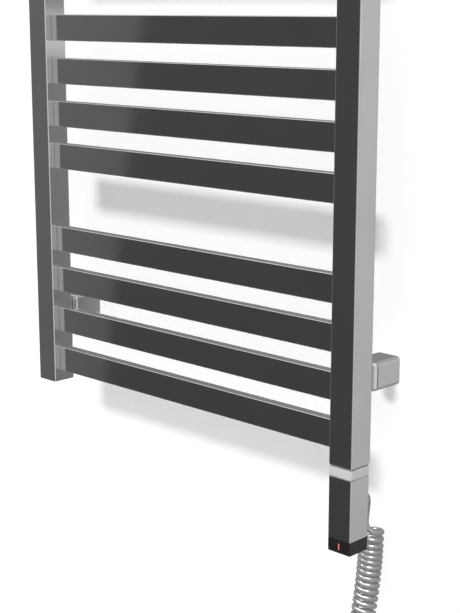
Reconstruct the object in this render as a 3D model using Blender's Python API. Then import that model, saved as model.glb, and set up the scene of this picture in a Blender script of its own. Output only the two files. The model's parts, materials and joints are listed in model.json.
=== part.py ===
"""Towel warmer rack with an electric heating element, in metres.

The rack hangs on a wall. X runs along the bars, Y into the wall and Z up. The wall is the plane
Y = 0, the front is at -Y, and the origin is on the wall in the middle of the four brackets.
"""

import math

import bmesh
import bpy
from mathutils import Matrix, Vector

# ---------------------------------------------------------------- driving dimensions
GAP = 0.0003  # between touching pieces

RACK_WIDTH = 0.500
POST_SIDE = 0.030
POST_WALL = 0.0015
POST_EDGE = 0.0015
WALL_TO_POST = 0.045

BAR_HEIGHT = 0.030
BAR_DEPTH = 0.012
BAR_WALL = 0.0012
BAR_EDGE = 0.0011
BAR_PITCH = 0.050
BARS_PER_GROUP = 4
GROUPS = 4
END_MARGIN = 0.0133  # from a post's end to the nearest bar
SLOT_HEIGHT = 0.024
SLOT_DEPTH = 0.007

BRACKET_SIDE = 0.030
BRACKET_DEPTH = 0.042
BRACKET_EDGE = 0.0042
BRACKET_SIDE_ROUND = 0.0072
BRACKET_WALL = 0.003
BRACKET_RISE = 0.390  # from the middle of the rack to each pair of brackets
NECK_RADIUS = 0.0085
STUD_RADIUS = 0.0039
CORE_SIDE = 0.0225
CORE_PLATE = 0.003
CORE_RADIUS = 0.008
CORE_LENGTH = 0.030
WALL_SCREW_HOLE = 0.0026
GRUB_RADIUS = 0.0024
GRUB_LENGTH = 0.0105

CAP_PLATE = 0.0015
PLUG_DEPTH = 0.008
SOCKET_HEIGHT = 0.012
THREAD_RADIUS = 0.0099
HEX_KEY_RADIUS = 0.0052
VENT_RADIUS = 0.0064
VENT_HEAD_RADIUS = 0.0085
VENT_HEAD = 0.003
BLEED_RADIUS = 0.0024

COLLAR_SIDE = 0.0290
GASKET_BOTTOM = 0.0020  # below the post's end, as are the next seven
COLLAR_TOP = 0.0023
COLLAR_BOTTOM = 0.0121
HOUSING_TOP = 0.0126
HOUSING_BOTTOM = 0.0785
CAP_BOTTOM = 0.0930
CORD_EXIT_DROP = 0.0402
LIGHT_DROP = 0.0860
GASKET_INSET = 0.0007
HOUSING_WIDTH = 0.0296
HOUSING_DEPTH = 0.0290
HOUSING_WALL = 0.0014
END_CAP_WALL = 0.0020
LIGHT_WIDTH = 0.0016
LIGHT_HEIGHT = 0.0068
LIGHT_DEPTH = 0.0035
POWER_LIGHT_SHIFT = 0.0002
TIMER_LIGHT_SHIFT = 0.0050
ROD_RADIUS = 0.0050
ROD_LENGTH = 0.430
ROD_SHIFT = -0.0030
PROBE_RADIUS = 0.0018
PROBE_LENGTH = 0.300
PROBE_SHIFT = 0.0062
HEX_FLATS = 0.0220
BUTTON_RADIUS = 0.0060
BUTTON_PROUD = 0.0014
BUTTON_FLANGE_RADIUS = 0.0073
BUTTON_FLANGE = 0.0010
BUTTON_STEM_RADIUS = 0.0018
SPRING_RADIUS = 0.0040
SPRING_WIRE = 0.00035
SPRING_LENGTH = 0.0064
SPRING_TURNS = 4

CORD_RADIUS = 0.00295
COIL_RADIUS = 0.0105  # of the cord's centre line in the curly part
COIL_AXIS_TOP = (0.2348, -0.0208)  # x and y
COIL_TOP_DROP = 0.0800  # below the post's end
LEAN_TOP_DROP = 0.0840
LEAN_DEPTH = 0.0840
COIL_LEAN = (0.0006, -0.0106)  # how far the axis has moved LEAN_DEPTH below LEAN_TOP_DROP
LEAN_POWER = 1.81
COIL_BOTTOM_DROP = 0.2200
ELBOW_RADIUS = 0.0107
ELBOW_OUT = 0.0045
ELBOW_DOWN = 0.0157
PLUG_X = 0.2240
PLUG_TOP_DROP = 0.3060
PLUG_LENGTH = 0.0600
PLUG_RADIUS = 0.0185
PIN_RADIUS = 0.0024
PIN_LENGTH = 0.0190
PIN_SPACING = 0.0190

# ---------------------------------------------------------------- derived places
SLOTS = GROUPS * (BARS_PER_GROUP + 1) - 1
POST_HEIGHT = (SLOTS - 1) * BAR_PITCH + BAR_HEIGHT + 2 * END_MARGIN
POST_TOP = POST_HEIGHT / 2
POST_FOOT = -POST_HEIGHT / 2
POST_X = (RACK_WIDTH - POST_SIDE) / 2
POST_Y = -WALL_TO_POST - POST_SIDE / 2
FRONT_Y = -WALL_TO_POST - POST_SIDE
BAR_LENGTH = RACK_WIDTH - 2 * POST_SIDE - 2 * GAP
TOP_BAR_Z = POST_TOP - END_MARGIN - BAR_HEIGHT / 2
POST_INSIDE = POST_SIDE - 2 * POST_WALL - 2 * GAP
HOUSING_Y = FRONT_Y + HOUSING_DEPTH / 2
HOUSING_BACK = FRONT_Y + HOUSING_DEPTH
CORD_X = POST_X
CORD_Y = HOUSING_BACK + ELBOW_OUT + ELBOW_RADIUS
CORD_START_DROP = CORD_EXIT_DROP + ELBOW_RADIUS + ELBOW_DOWN
BRACKET_PLACES = {
    "upper_left": (-POST_X, BRACKET_RISE),
    "upper_right": (POST_X, BRACKET_RISE),
    "lower_left": (-POST_X, -BRACKET_RISE),
    "lower_right": (POST_X, -BRACKET_RISE),
}

# ---------------------------------------------------------------- materials
FINISHES = {
    "chrome": ((0.62, 0.62, 0.63), 0.08, 1.0),
    "steel": ((0.46, 0.45, 0.44), 0.35, 1.0),
    "brass": ((0.66, 0.52, 0.26), 0.30, 1.0),
    "white_plastic": ((0.86, 0.86, 0.84), 0.35, 0.0),
    "black_plastic": ((0.02, 0.02, 0.02), 0.25, 0.0),
    "grey_plastic": ((0.42, 0.42, 0.42), 0.35, 0.0),
    "grey_rubber": ((0.30, 0.30, 0.30), 0.55, 0.0),
    "board": ((0.03, 0.16, 0.08), 0.45, 0.0),
    "lit_window": ((0.90, 0.08, 0.03), 0.20, 0.0),
    "dark_window": ((0.06, 0.03, 0.03), 0.20, 0.0),
}


def clear_scene():
    for old in list(bpy.data.objects):
        bpy.data.objects.remove(old, do_unlink=True)


def material(name, finish):
    colour, roughness, metallic = FINISHES[finish]
    made = bpy.data.materials.new(name)
    made.use_nodes = True
    shader = made.node_tree.nodes["Principled BSDF"]
    shader.inputs["Base Color"].default_value = (*colour, 1.0)
    shader.inputs["Roughness"].default_value = roughness
    shader.inputs["Metallic"].default_value = metallic
    return made


def add_object(name, data, finish):
    """Puts data in the scene as the named sub-part with its own material."""
    piece = bpy.data.objects.new(name, data)
    bpy.context.scene.collection.objects.link(piece)
    data.materials.append(material(name + "_finish", finish))
    return piece


# ---------------------------------------------------------------- outlines and lofts
def rounded_rectangle(width, height, radius, steps=4):
    """(u, v) points of a rectangle with round corners, anticlockwise."""
    points = []
    for corner in range(4):
        sign_u = (1, -1, -1, 1)[corner]
        sign_v = (1, 1, -1, -1)[corner]
        for step in range(steps + 1):
            turn = (corner + step / steps) * math.pi / 2
            points.append(
                (
                    sign_u * (width / 2 - radius) + radius * math.cos(turn),
                    sign_v * (height / 2 - radius) + radius * math.sin(turn),
                )
            )
    return points


def circle(radius, sides=24):
    return [
        (radius * math.cos(2 * math.pi * k / sides), radius * math.sin(2 * math.pi * k / sides))
        for k in range(sides)
    ]


def ring(outline, centre, axis="z"):
    """Places an outline's (u, v) points round a centre, in the plane square to an axis."""
    x, y, z = centre
    place = {
        "x": lambda u, v: (x, y + u, z + v),
        "y": lambda u, v: (x + u, y, z + v),
        "z": lambda u, v: (x + u, y + v, z),
    }[axis]
    return [place(u, v) for u, v in outline]


def loft(name, rings, finish, closed=False, sharp_angle=40):
    """Joins rings of equal length with side faces, and caps the first and last unless closed."""
    mesh = bmesh.new()
    rows = [[mesh.verts.new(point) for point in points] for points in rings]
    pairs = list(zip(rows, rows[1:]))
    if closed:
        pairs.append((rows[-1], rows[0]))
    else:
        mesh.faces.new(rows[0])
        mesh.faces.new(rows[-1])
    count = len(rows[0])
    for low, high in pairs:
        for k in range(count):
            after = (k + 1) % count
            mesh.faces.new((low[k], low[after], high[after], high[k]))
    bmesh.ops.recalc_face_normals(mesh, faces=mesh.faces)
    data = bpy.data.meshes.new(name)
    mesh.to_mesh(data)
    mesh.free()
    data.shade_smooth()
    data.set_sharp_from_angle(angle=math.radians(sharp_angle))
    return add_object(name, data, finish)


def turned(name, profile, centre, finish, axis="z", sides=24, closed=False):
    """A round piece: profile is (radius, distance along the axis from centre) pairs."""
    step = Vector({"x": (1, 0, 0), "y": (0, 1, 0), "z": (0, 0, 1)}[axis])
    rings = [
        ring(circle(radius, sides), Vector(centre) + step * along, axis)
        for radius, along in profile
    ]
    return loft(name, rings, finish, closed)


def swept(name, path, radii, finish, sides=12):
    """A solid round bar along a path, with its own radius at each point."""
    rings = []
    side = None
    for k, here in enumerate(path):
        before = path[max(k - 1, 0)]
        after = path[min(k + 1, len(path) - 1)]
        along = (Vector(after) - Vector(before)).normalized()
        if side is None:
            side = along.orthogonal().normalized()
        side = (side - along * side.dot(along)).normalized()
        across = along.cross(side)
        rings.append([Vector(here) + side * u + across * v for u, v in circle(radii[k], sides)])
    return loft(name, rings, finish, sharp_angle=50)


def cord_tube(name, path, radius, finish, resolution=2):
    """A cord's solid: a curve with a round bevel and filled ends."""
    data = bpy.data.curves.new(name, "CURVE")
    data.dimensions = "3D"
    data.bevel_depth = radius
    data.bevel_resolution = resolution
    data.use_fill_caps = True
    spline = data.splines.new("POLY")
    spline.points.add(len(path) - 1)
    for point, place in zip(spline.points, path):
        point.co = (*place, 1.0)
    return add_object(name, data, finish)


def smooth_path(points, spacing):
    """Points about spacing apart on a smooth curve through the given ones."""
    places = [Vector(p) for p in points]
    ends = [2 * places[0] - places[1], *places, 2 * places[-1] - places[-2]]
    dense = []
    for k in range(1, len(ends) - 2):
        a, b, c, d = ends[k - 1 : k + 3]
        for step in range(16):
            t = step / 16
            dense.append(
                0.5 * (2 * b + (c - a) * t + (2 * a - 5 * b + 4 * c - d) * t**2)
                + 0.5 * (3 * b - a - 3 * c + d) * t**3
            )
    dense.append(places[-1])
    length = sum((q - p).length for p, q in zip(dense, dense[1:]))
    count = max(2, round(length / spacing))
    path = [dense[0]]
    walked = 0.0
    for p, q in zip(dense, dense[1:]):
        stretch = (q - p).length
        while len(path) < count and walked + stretch >= len(path) * length / count:
            share = (len(path) * length / count - walked) / stretch
            path.append(p.lerp(q, share))
        walked += stretch
    path.append(dense[-1])
    return path


# ---------------------------------------------------------------- cutting
def box_cutter(name, boxes):
    """Cutter made of boxes, each (centre, size)."""
    mesh = bmesh.new()
    for centre, size in boxes:
        scale = Matrix.Diagonal((*size, 1.0))
        bmesh.ops.create_cube(mesh, size=1.0, matrix=Matrix.Translation(centre) @ scale)
    return finish_cutter(name, mesh)


def round_cutter(name, holes):
    """Cutter made of cylinders, each (centre, radius, length, axis)."""
    mesh = bmesh.new()
    turns = {
        "x": Matrix.Rotation(math.pi / 2, 4, "Y"),
        "y": Matrix.Rotation(math.pi / 2, 4, "X"),
        "z": Matrix.Identity(4),
    }
    for centre, radius, length, axis in holes:
        bmesh.ops.create_cone(
            mesh,
            cap_ends=True,
            segments=24,
            radius1=radius,
            radius2=radius,
            depth=length,
            matrix=Matrix.Translation(centre) @ turns[axis],
        )
    return finish_cutter(name, mesh)


def finish_cutter(name, mesh):
    data = bpy.data.meshes.new(name)
    mesh.to_mesh(data)
    mesh.free()
    cutter = bpy.data.objects.new(name, data)
    bpy.context.scene.collection.objects.link(cutter)
    cutter.hide_render = True
    cutter.display_type = "WIRE"
    return cutter


def cut(piece, cutter):
    hole = piece.modifiers.new("cut_" + cutter.name, "BOOLEAN")
    hole.operation = "DIFFERENCE"
    hole.solver = "EXACT"
    hole.object = cutter


# ---------------------------------------------------------------- rack
def bar_heights():
    """Centre heights of the bars from the top down, with one bar left out between groups."""
    return [
        TOP_BAR_Z - slot * BAR_PITCH
        for slot in range(SLOTS)
        if slot % (BARS_PER_GROUP + 1) != BARS_PER_GROUP
    ]


def make_post(side, x):
    """Square tube with a slot towards each bar and a hole for each bracket's stud."""
    outer = rounded_rectangle(POST_SIDE, POST_SIDE, POST_EDGE)
    inner_side = POST_SIDE - 2 * POST_WALL
    inner = rounded_rectangle(inner_side, inner_side, POST_EDGE / 3)
    top = POST_TOP - CAP_PLATE - GAP
    rings = [
        ring(outer, (x, POST_Y, POST_FOOT)),
        ring(outer, (x, POST_Y, top)),
        ring(inner, (x, POST_Y, top)),
        ring(inner, (x, POST_Y, POST_FOOT)),
    ]
    post = loft("post_" + side, rings, "chrome", closed=True)
    inward = -math.copysign(1, x)
    slot_x = x + inward * (POST_SIDE - POST_WALL) / 2
    slot_size = (3 * POST_WALL, SLOT_DEPTH, SLOT_HEIGHT)
    slots = [((slot_x, POST_Y, z), slot_size) for z in bar_heights()]
    cut(post, box_cutter("slots_" + side, slots))
    back = POST_Y + (POST_SIDE - POST_WALL) / 2
    holes = [
        ((x, back, z), STUD_RADIUS + GAP, 3 * POST_WALL, "y") for z in (BRACKET_RISE, -BRACKET_RISE)
    ]
    cut(post, round_cutter("stud_holes_" + side, holes))


def make_bars():
    """Flat rectangular tubes, open at the ends where they meet the posts' slots."""
    outer = rounded_rectangle(BAR_DEPTH, BAR_HEIGHT, BAR_EDGE, 3)
    inner = rounded_rectangle(
        BAR_DEPTH - 2 * BAR_WALL, BAR_HEIGHT - 2 * BAR_WALL, BAR_EDGE / 3, 3
    )
    half = BAR_LENGTH / 2
    for number, z in enumerate(bar_heights(), start=1):
        rings = [
            ring(outer, (-half, POST_Y, z), "x"),
            ring(outer, (half, POST_Y, z), "x"),
            ring(inner, (half, POST_Y, z), "x"),
            ring(inner, (-half, POST_Y, z), "x"),
        ]
        loft(f"bar_{number:02d}", rings, "chrome", closed=True)


def make_top_cap(side, x):
    """Square cap with a plate over the post's top and a plug inside it."""
    plate = rounded_rectangle(POST_SIDE, POST_SIDE, POST_EDGE)
    plate_top = rounded_rectangle(POST_SIDE - 0.0008, POST_SIDE - 0.0008, POST_EDGE)
    plug = rounded_rectangle(POST_INSIDE, POST_INSIDE, POST_EDGE)
    plate_bottom = POST_TOP - CAP_PLATE
    rings = [
        ring(plate_top, (x, POST_Y, POST_TOP)),
        ring(plate, (x, POST_Y, POST_TOP - 0.0004)),
        ring(plate, (x, POST_Y, plate_bottom)),
        ring(plug, (x, POST_Y, plate_bottom)),
        ring(plug, (x, POST_Y, plate_bottom - PLUG_DEPTH)),
    ]
    return loft("top_cap_" + side, rings, "chrome")


def make_air_vent(cap):
    """Vent plug in the right cap, and the slotted bleed screw in the plug."""
    place = (POST_X, POST_Y, POST_TOP)
    cap_depth = CAP_PLATE + PLUG_DEPTH
    hole = (POST_X, POST_Y, POST_TOP - cap_depth / 2)
    cut(cap, round_cutter("vent_hole", [(hole, VENT_RADIUS + GAP, 2 * cap_depth, "z")]))
    bore = BLEED_RADIUS + GAP
    seat = BLEED_RADIUS + 0.0012
    profile = [
        (bore, GAP + VENT_HEAD - 0.0012),
        (seat, GAP + VENT_HEAD - 0.0012),
        (seat, GAP + VENT_HEAD),
        (VENT_HEAD_RADIUS - 0.0006, GAP + VENT_HEAD),
        (VENT_HEAD_RADIUS, GAP + VENT_HEAD - 0.0006),
        (VENT_HEAD_RADIUS, GAP),
        (VENT_RADIUS, GAP),
        (VENT_RADIUS, -cap_depth),
        (bore, -cap_depth),
    ]
    turned("vent_plug", profile, place, "chrome", closed=True)
    head_bottom = GAP + VENT_HEAD - 0.0012 + GAP
    head_top = head_bottom + 0.0014
    profile = [
        (BLEED_RADIUS, -cap_depth),
        (BLEED_RADIUS, head_bottom),
        (seat - GAP, head_bottom),
        (seat - GAP, head_top),
    ]
    screw = turned("bleed_screw", profile, place, "brass")
    slot = ((POST_X, POST_Y, POST_TOP + head_top), (0.010, 0.0009, 0.0014))
    cut(screw, box_cutter("bleed_slot", [slot]))


def make_sockets():
    """Threaded sockets in the posts' lower ends, and the blanking plug of the left one."""
    outline = rounded_rectangle(POST_INSIDE, POST_INSIDE, POST_EDGE, 5)
    bore = circle(THREAD_RADIUS + GAP, len(outline))
    turned_bore = bore[len(bore) // 8 :] + bore[: len(bore) // 8]
    for side, x in (("left", -POST_X), ("right", POST_X)):
        top = (x, POST_Y, POST_FOOT + SOCKET_HEIGHT)
        foot = (x, POST_Y, POST_FOOT)
        rings = [
            ring(outline, foot),
            ring(outline, top),
            ring(turned_bore, top),
            ring(turned_bore, foot),
        ]
        loft("socket_" + side, rings, "steel", closed=True)
    profile = [
        (HEX_KEY_RADIUS, 0.006),
        (HEX_KEY_RADIUS, 0.0),
        (THREAD_RADIUS - 0.0008, 0.0),
        (THREAD_RADIUS, 0.0008),
        (THREAD_RADIUS, 0.010),
    ]
    key, outer = profile[:2], profile[2:]
    centre = Vector((-POST_X, POST_Y, POST_FOOT))
    hexagon = [hexagon_point(k, 24, key[0][0]) for k in range(24)]
    rings = [ring(hexagon, centre + Vector((0, 0, along))) for _, along in key]
    rings += [ring(circle(radius), centre + Vector((0, 0, along))) for radius, along in outer]
    loft("blanking_plug", rings, "chrome")


def hexagon_point(k, sides, flat_radius):
    """The k-th of sides points round a hexagon, by its distance from centre to flat."""
    turn = 2 * math.pi * k / sides
    off_flat = (turn % (math.pi / 3)) - math.pi / 6
    reach = flat_radius / math.cos(off_flat)
    return (reach * math.cos(turn), reach * math.sin(turn))


# ---------------------------------------------------------------- wall brackets
def rounding(radius, depth):
    """How far a round edge of this radius stands back at a depth below the face."""
    rest = max(0.0, radius - depth)
    return radius - math.sqrt(radius**2 - rest**2)


def make_bracket(place, x, z):
    """Hollow square block, its neck to the post, its wall core and the grub screw between them."""
    front = -BRACKET_DEPTH
    steps = 6
    rings = []
    for step in range(steps + 1):
        depth = BRACKET_SIDE_ROUND * (1 - math.cos(step / steps * math.pi / 2))
        inset_x = rounding(BRACKET_SIDE_ROUND, depth)
        inset_z = rounding(BRACKET_EDGE, depth)
        corner = max(0.0005, BRACKET_EDGE - 0.8 * max(inset_x * 0.55, inset_z))
        outline = rounded_rectangle(BRACKET_SIDE - 2 * inset_x, BRACKET_SIDE - 2 * inset_z, corner)
        rings.append(ring(outline, (x, front + depth, z), "y"))
    outer = rounded_rectangle(BRACKET_SIDE, BRACKET_SIDE, BRACKET_EDGE)
    inner_side = BRACKET_SIDE - 2 * BRACKET_WALL
    inner = rounded_rectangle(inner_side, inner_side, BRACKET_EDGE / 3)
    rings.append(ring(outer, (x, 0, z), "y"))
    rings.append(ring(inner, (x, 0, z), "y"))
    rings.append(ring(inner, (x, front + 2 * BRACKET_WALL, z), "y"))
    block = loft("bracket_block_" + place, rings, "chrome")
    grub_y = -0.013
    holes = [
        ((x, front + BRACKET_WALL, z), STUD_RADIUS + GAP, 4 * BRACKET_WALL, "y"),
        ((x, grub_y, z - BRACKET_SIDE / 2), GRUB_RADIUS + GAP, 4 * BRACKET_WALL, "z"),
    ]
    cut(block, round_cutter("block_holes_" + place, holes))

    gap_back = -WALL_TO_POST + GAP
    stud_in = 0.008
    profile = [
        (STUD_RADIUS, -WALL_TO_POST - stud_in),
        (STUD_RADIUS, gap_back),
        (NECK_RADIUS, gap_back),
        (NECK_RADIUS, front - GAP),
        (STUD_RADIUS, front - GAP),
        (STUD_RADIUS, front + stud_in),
    ]
    turned("bracket_neck_" + place, profile, (x, 0, z), "chrome", axis="y")

    square = rounded_rectangle(CORE_SIDE, CORE_SIDE, 0.002, 5)
    boss = circle(CORE_RADIUS, len(square))
    boss = boss[len(boss) // 8 :] + boss[: len(boss) // 8]
    bore = [(u * WALL_SCREW_HOLE / CORE_RADIUS, v * WALL_SCREW_HOLE / CORE_RADIUS) for u, v in boss]
    rings = [
        ring(square, (x, 0, z), "y"),
        ring(square, (x, -CORE_PLATE, z), "y"),
        ring(boss, (x, -CORE_PLATE, z), "y"),
        ring(boss, (x, -CORE_LENGTH, z), "y"),
        ring(bore, (x, -CORE_LENGTH, z), "y"),
        ring(bore, (x, 0, z), "y"),
    ]
    loft("bracket_core_" + place, rings, "steel", closed=True)

    grub_foot = z - BRACKET_SIDE / 2 - 0.0002
    grub_top = min(grub_foot + GRUB_LENGTH, z - CORE_RADIUS - GAP)
    key_depth = 0.0025
    profile = [
        (0.0012, grub_foot + key_depth),
        (0.0012, grub_foot),
        (GRUB_RADIUS - 0.0003, grub_foot),
        (GRUB_RADIUS, grub_foot + 0.0003),
        (GRUB_RADIUS, grub_top - 0.0008),
        (GRUB_RADIUS - 0.0008, grub_top),
    ]
    turned("bracket_grub_" + place, profile, (x, grub_y, 0), "steel", sides=12)


# ---------------------------------------------------------------- heating element
def below_post(drop):
    """Height of a place by its distance below the posts' lower ends."""
    return POST_FOOT - drop


def make_element_core():
    """Bush with its thread and hexagon, the gasket, the heating rod and the temperature probe."""
    sides = 24
    hexagon = [hexagon_point(k, sides, HEX_FLATS / 2) for k in range(sides)]
    hex_top = below_post(GASKET_BOTTOM + GAP)
    hex_foot = below_post(0.0104)
    rings = [
        ring(circle(THREAD_RADIUS, sides), (POST_X, POST_Y, POST_FOOT + SOCKET_HEIGHT - 0.001)),
        ring(circle(THREAD_RADIUS, sides), (POST_X, POST_Y, hex_top)),
        ring(hexagon, (POST_X, POST_Y, hex_top)),
        ring(hexagon, (POST_X, POST_Y, hex_foot)),
        ring(circle(0.0085, sides), (POST_X, POST_Y, hex_foot)),
        ring(circle(0.0085, sides), (POST_X, POST_Y, below_post(0.018))),
    ]
    bush = loft("element_bush", rings, "brass")
    bores = [
        ((POST_X + ROD_SHIFT, POST_Y, POST_FOOT), ROD_RADIUS + GAP, 0.060, "z"),
        ((POST_X + PROBE_SHIFT, POST_Y, POST_FOOT), PROBE_RADIUS + GAP, 0.060, "z"),
    ]
    cut(bush, round_cutter("bush_bores", bores))

    outline = rounded_rectangle(
        HOUSING_WIDTH - 2 * GASKET_INSET, HOUSING_DEPTH - 2 * GASKET_INSET, POST_EDGE, 5
    )
    bore = circle(THREAD_RADIUS + GAP, len(outline))
    bore = bore[len(bore) // 8 :] + bore[: len(bore) // 8]
    rings = []
    for z in (below_post(GASKET_BOTTOM), below_post(GAP)):
        rings.append(ring(outline, (POST_X, HOUSING_Y, z)))
    for z in (below_post(GAP), below_post(GASKET_BOTTOM)):
        rings.append(ring(bore, (POST_X, POST_Y, z)))
    loft("element_gasket", rings, "grey_rubber", closed=True)

    foot_z = below_post(0.012)
    tip = ROD_RADIUS * 0.5
    profile = [
        (ROD_RADIUS, 0.0),
        (ROD_RADIUS, ROD_LENGTH - tip),
        (ROD_RADIUS * 0.86, ROD_LENGTH - tip * 0.5),
        (ROD_RADIUS * 0.5, ROD_LENGTH),
    ]
    turned("heating_rod", profile, (POST_X + ROD_SHIFT, POST_Y, foot_z), "steel", sides=16)
    profile = [
        (PROBE_RADIUS, 0.0),
        (PROBE_RADIUS, PROBE_LENGTH - 0.001),
        (PROBE_RADIUS * 0.5, PROBE_LENGTH),
    ]
    turned("temperature_probe", profile, (POST_X + PROBE_SHIFT, POST_Y, foot_z), "steel", sides=12)


def make_collar():
    """Pale square ring that hides the hexagon between the post and the housing."""
    steps = 5
    outline = rounded_rectangle(HOUSING_WIDTH, COLLAR_SIDE, POST_EDGE, steps)
    sides = len(outline)
    bore = circle(0.0131, sides)
    bore = bore[sides // 8 :] + bore[: sides // 8]
    top = (POST_X, HOUSING_Y, below_post(COLLAR_TOP))
    foot = (POST_X, HOUSING_Y, below_post(COLLAR_BOTTOM))
    rings = [
        ring(outline, foot),
        ring(outline, top),
        ring(bore, (POST_X, POST_Y, top[2])),
        ring(bore, (POST_X, POST_Y, foot[2])),
    ]
    loft("element_collar", rings, "white_plastic", closed=True)


def make_housing():
    """Square shell, open below, with a hole above for the bush and one behind for the cord."""
    outer = rounded_rectangle(HOUSING_WIDTH, HOUSING_DEPTH, POST_EDGE)
    inner = rounded_rectangle(
        HOUSING_WIDTH - 2 * HOUSING_WALL, HOUSING_DEPTH - 2 * HOUSING_WALL, POST_EDGE / 3
    )
    top = below_post(HOUSING_TOP)
    foot = below_post(HOUSING_BOTTOM)
    rings = [
        ring(outer, (POST_X, HOUSING_Y, top)),
        ring(outer, (POST_X, HOUSING_Y, foot)),
        ring(inner, (POST_X, HOUSING_Y, foot)),
        ring(inner, (POST_X, HOUSING_Y, top - HOUSING_WALL)),
    ]
    housing = loft("element_housing", rings, "chrome")
    holes = [
        ((POST_X, POST_Y, top), 0.0085 + GAP, 4 * HOUSING_WALL, "z"),
        ((CORD_X, HOUSING_BACK, below_post(CORD_EXIT_DROP)), 0.0050 + GAP, 4 * HOUSING_WALL, "y"),
    ]
    cut(housing, round_cutter("housing_holes", holes))


def make_end_cap():
    """Black cap with a lip inside the housing, two window slots and the button's hole."""
    lip_gap = HOUSING_WALL + GAP
    outer = rounded_rectangle(HOUSING_WIDTH, HOUSING_DEPTH, POST_EDGE)
    foot_outline = rounded_rectangle(HOUSING_WIDTH - 0.0006, HOUSING_DEPTH - 0.0006, POST_EDGE)
    lip = rounded_rectangle(
        HOUSING_WIDTH - 2 * lip_gap, HOUSING_DEPTH - 2 * lip_gap, POST_EDGE / 3
    )
    inner_inset = lip_gap + 0.0010
    inner = rounded_rectangle(
        HOUSING_WIDTH - 2 * inner_inset, HOUSING_DEPTH - 2 * inner_inset, POST_EDGE / 3
    )
    seam = below_post(HOUSING_BOTTOM) - GAP
    foot = below_post(CAP_BOTTOM)
    lip_top = below_post(HOUSING_BOTTOM - 0.006)
    rings = [
        ring(foot_outline, (POST_X, HOUSING_Y, foot)),
        ring(outer, (POST_X, HOUSING_Y, foot + 0.0003)),
        ring(outer, (POST_X, HOUSING_Y, seam)),
        ring(lip, (POST_X, HOUSING_Y, seam)),
        ring(lip, (POST_X, HOUSING_Y, lip_top)),
        ring(inner, (POST_X, HOUSING_Y, lip_top)),
        ring(inner, (POST_X, HOUSING_Y, foot + END_CAP_WALL)),
    ]
    cap = loft("end_cap", rings, "black_plastic")
    light_z = below_post(LIGHT_DROP)
    size = (LIGHT_WIDTH + 2 * GAP, 0.012, LIGHT_HEIGHT + 2 * GAP)
    windows = [
        ((POST_X + shift, FRONT_Y, light_z), size)
        for shift in (POWER_LIGHT_SHIFT, TIMER_LIGHT_SHIFT)
    ]
    cut(cap, box_cutter("window_slots", windows))
    hole = ((POST_X, HOUSING_Y, foot), BUTTON_RADIUS + GAP, 4 * END_CAP_WALL, "z")
    cut(cap, round_cutter("button_hole", [hole]))
    for name, shift, finish in (
        ("light_power", POWER_LIGHT_SHIFT, "lit_window"),
        ("light_timer", TIMER_LIGHT_SHIFT, "dark_window"),
    ):
        outline = rounded_rectangle(LIGHT_WIDTH, LIGHT_HEIGHT, 0.0004, 2)
        x = POST_X + shift
        rings = [
            ring(outline, (x, FRONT_Y, light_z), "y"),
            ring(outline, (x, FRONT_Y + LIGHT_DEPTH, light_z), "y"),
        ]
        loft(name, rings, finish)


def make_button():
    """Push button in the end cap's underside, and its return spring under the switch."""
    foot = below_post(CAP_BOTTOM)
    floor = END_CAP_WALL + GAP
    stem_top = foot + floor + BUTTON_FLANGE + 0.0052
    rise = stem_top - foot
    profile = [
        (BUTTON_RADIUS - 0.0006, -BUTTON_PROUD),
        (BUTTON_RADIUS, -BUTTON_PROUD + 0.0005),
        (BUTTON_RADIUS, floor),
        (BUTTON_FLANGE_RADIUS, floor),
        (BUTTON_FLANGE_RADIUS, floor + BUTTON_FLANGE),
        (BUTTON_STEM_RADIUS, floor + BUTTON_FLANGE),
        (BUTTON_STEM_RADIUS, rise),
    ]
    centre = Vector((POST_X, HOUSING_Y, foot))
    moved = [(radius, along - profile[0][1]) for radius, along in profile]
    button = turned("push_button", moved, (0, 0, 0), "black_plastic")
    button.location = centre + Vector((0, 0, profile[0][1]))

    start = floor + BUTTON_FLANGE + GAP + SPRING_WIRE
    steps = 12
    path = []
    for k in range(SPRING_TURNS * steps + 1):
        turn = 2 * math.pi * k / steps
        rise = start + k / (SPRING_TURNS * steps) * (SPRING_LENGTH - 2 * SPRING_WIRE)
        offset = (SPRING_RADIUS * math.cos(turn), SPRING_RADIUS * math.sin(turn), rise)
        path.append(centre + Vector(offset))
    swept("button_spring", path, [SPRING_WIRE] * len(path), "steel", sides=6)
    return centre.z + start + SPRING_LENGTH - SPRING_WIRE


def make_board(switch_foot):
    """Control board with the switch over the button; switch_foot is the switch's underside."""
    board_y = FRONT_Y + 0.0070
    top = below_post(0.026)
    switch_top = switch_foot + 0.004
    half = 0.0090
    outline = [
        (board_y, switch_foot),
        (HOUSING_Y + 0.0050, switch_foot),
        (HOUSING_Y + 0.0050, switch_top),
        (board_y + 0.0016, switch_top),
        (board_y + 0.0016, top),
        (board_y, top),
    ]
    rings = [[(POST_X + side * half, y, z) for y, z in outline] for side in (-1, 1)]
    loft("control_board", rings, "board")


# ---------------------------------------------------------------- cord
def coil_axis(drop):
    """Middle of the curly part: it swings forward with depth, then straightens towards its end."""
    depth = max(0.0, (drop - LEAN_TOP_DROP) / LEAN_DEPTH)
    share = min(1.0, depth) ** LEAN_POWER
    past = max(0.0, depth - 1.0)
    run_out = (COIL_BOTTOM_DROP - LEAN_TOP_DROP) / LEAN_DEPTH - 1.0
    share += LEAN_POWER * (past - past * past / (2 * run_out))
    return Vector(
        (
            COIL_AXIS_TOP[0] + COIL_LEAN[0] * share,
            COIL_AXIS_TOP[1] + COIL_LEAN[1] * share,
            below_post(drop),
        )
    )


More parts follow.
